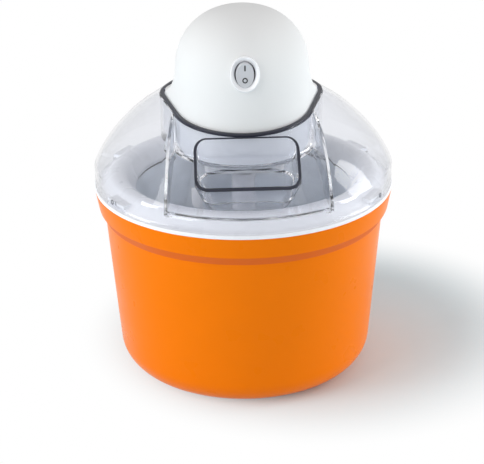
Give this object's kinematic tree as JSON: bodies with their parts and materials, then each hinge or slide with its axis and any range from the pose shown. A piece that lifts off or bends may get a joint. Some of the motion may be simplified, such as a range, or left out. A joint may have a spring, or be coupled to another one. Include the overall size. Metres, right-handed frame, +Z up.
{
  "type": "ice cream maker",
  "caption": "Bucket with a freezer bowl, a clear domed lid with a feed chute, and a motor head that turns a paddle through a gear train.",
  "frame": {"origin": "centre of the base, on the standing surface", "axes": "+Z up; -Y is the front, where the switch and the feed chute are; +X is the right-hand side seen from the front"},
  "size_m": [0.21, 0.21, 0.264],
  "materials": {
    "orange_plastic": "gloss",
    "white_plastic": "gloss",
    "clear_plastic": "clear gloss",
    "grey_plastic": "satin",
    "black_plastic": "matt",
    "gear_plastic": "satin",
    "coolant": "frozen gel",
    "rubber": "matt",
    "aluminium": "satin",
    "steel": "satin",
    "bronze": "satin",
    "windings": "lacquered",
    "board": "satin"
  },
  "bodies": {
    "bucket": {"outer_bucket": "orange_plastic", "rubber_feet": "rubber"},
    "bowl": {"bowl_outer_wall": "white_plastic", "bowl_liner": "aluminium", "bowl_coolant": "coolant", "bowl_rim_ring": "white_plastic", "liner_seal": "rubber", "wall_seal": "rubber", "fill_plug": "white_plastic"},
    "mixer": {"paddle": "white_plastic"},
    "lid": {"lid": "clear_plastic"},
    "head": {"head_shell": "white_plastic", "head_base": "white_plastic", "gear_plate": "grey_plastic", "motor_can": "steel", "motor_magnets": "steel", "motor_end_cap": "black_plastic", "motor_screws": "steel", "plate_screws": "steel", "shell_screws": "steel", "gear_axles": "steel", "drive_bush": "bronze", "thrust_washer": "steel", "drive_seal": "rubber", "switch_bezel": "white_plastic", "switch_body": "black_plastic", "switch_terminals": "bronze", "supply_board": "board", "board_parts": "black_plastic", "cord_gland": "white_plastic"},
    "rocker": {"switch_rocker": "grey_plastic"},
    "drive": {"output_gear": "gear_plastic", "drive_shaft": "steel"},
    "second_stage": {"second_gear": "gear_plastic"},
    "first_stage": {"first_gear": "gear_plastic"},
    "rotor": {"motor_shaft": "steel", "motor_armature": "windings", "motor_commutator": "bronze", "motor_pinion": "bronze"}
  },
  "joints": [
    {"name": "bowl_lift", "type": "slide", "parent": "bucket", "child": "bowl", "axis": [0, 0, 1], "range_m": [0, 0.15]},
    {"name": "lid_twist", "type": "hinge", "parent": "bowl", "child": "lid", "pos_m": [0, 0, 0.14], "axis": [0, 0, 1], "range_deg": [0, 14]},
    {"name": "head_lift", "type": "slide", "parent": "lid", "child": "head", "axis": [0, 0, 1], "range_m": [0, 0.07]},
    {"name": "paddle_spin", "type": "hinge", "parent": "bowl", "child": "mixer", "pos_m": [0, 0, 0.08], "axis": [0, 0, 1], "continuous": true},
    {"name": "drive_spin", "type": "hinge", "parent": "head", "child": "drive", "pos_m": [0, 0, 0.16], "axis": [0, 0, 1], "continuous": true},
    {"name": "second_spin", "type": "hinge", "parent": "head", "child": "second_stage", "pos_m": [0.01732, -0.01, 0.182], "axis": [0, 0, 1], "continuous": true},
    {"name": "first_spin", "type": "hinge", "parent": "head", "child": "first_stage", "pos_m": [0.01704, 0.01, 0.188], "axis": [0, 0, 1], "continuous": true},
    {"name": "rotor_spin", "type": "hinge", "parent": "head", "child": "rotor", "pos_m": [0, 0.014, 0.2], "axis": [0, 0, 1], "continuous": true},
    {"name": "switch_rock", "type": "hinge", "parent": "head", "child": "rocker", "pos_m": [0, -0.04161, 0.22925], "axis": [-1, 0, 0], "range_deg": [0, 16]}
  ],
  "couplings": [
    {"joint": "drive_spin", "follows": "paddle_spin", "ratio": 1},
    {"joint": "second_spin", "follows": "paddle_spin", "ratio": -4},
    {"joint": "first_spin", "follows": "paddle_spin", "ratio": 16},
    {"joint": "rotor_spin", "follows": "paddle_spin", "ratio": -64}
  ]
}
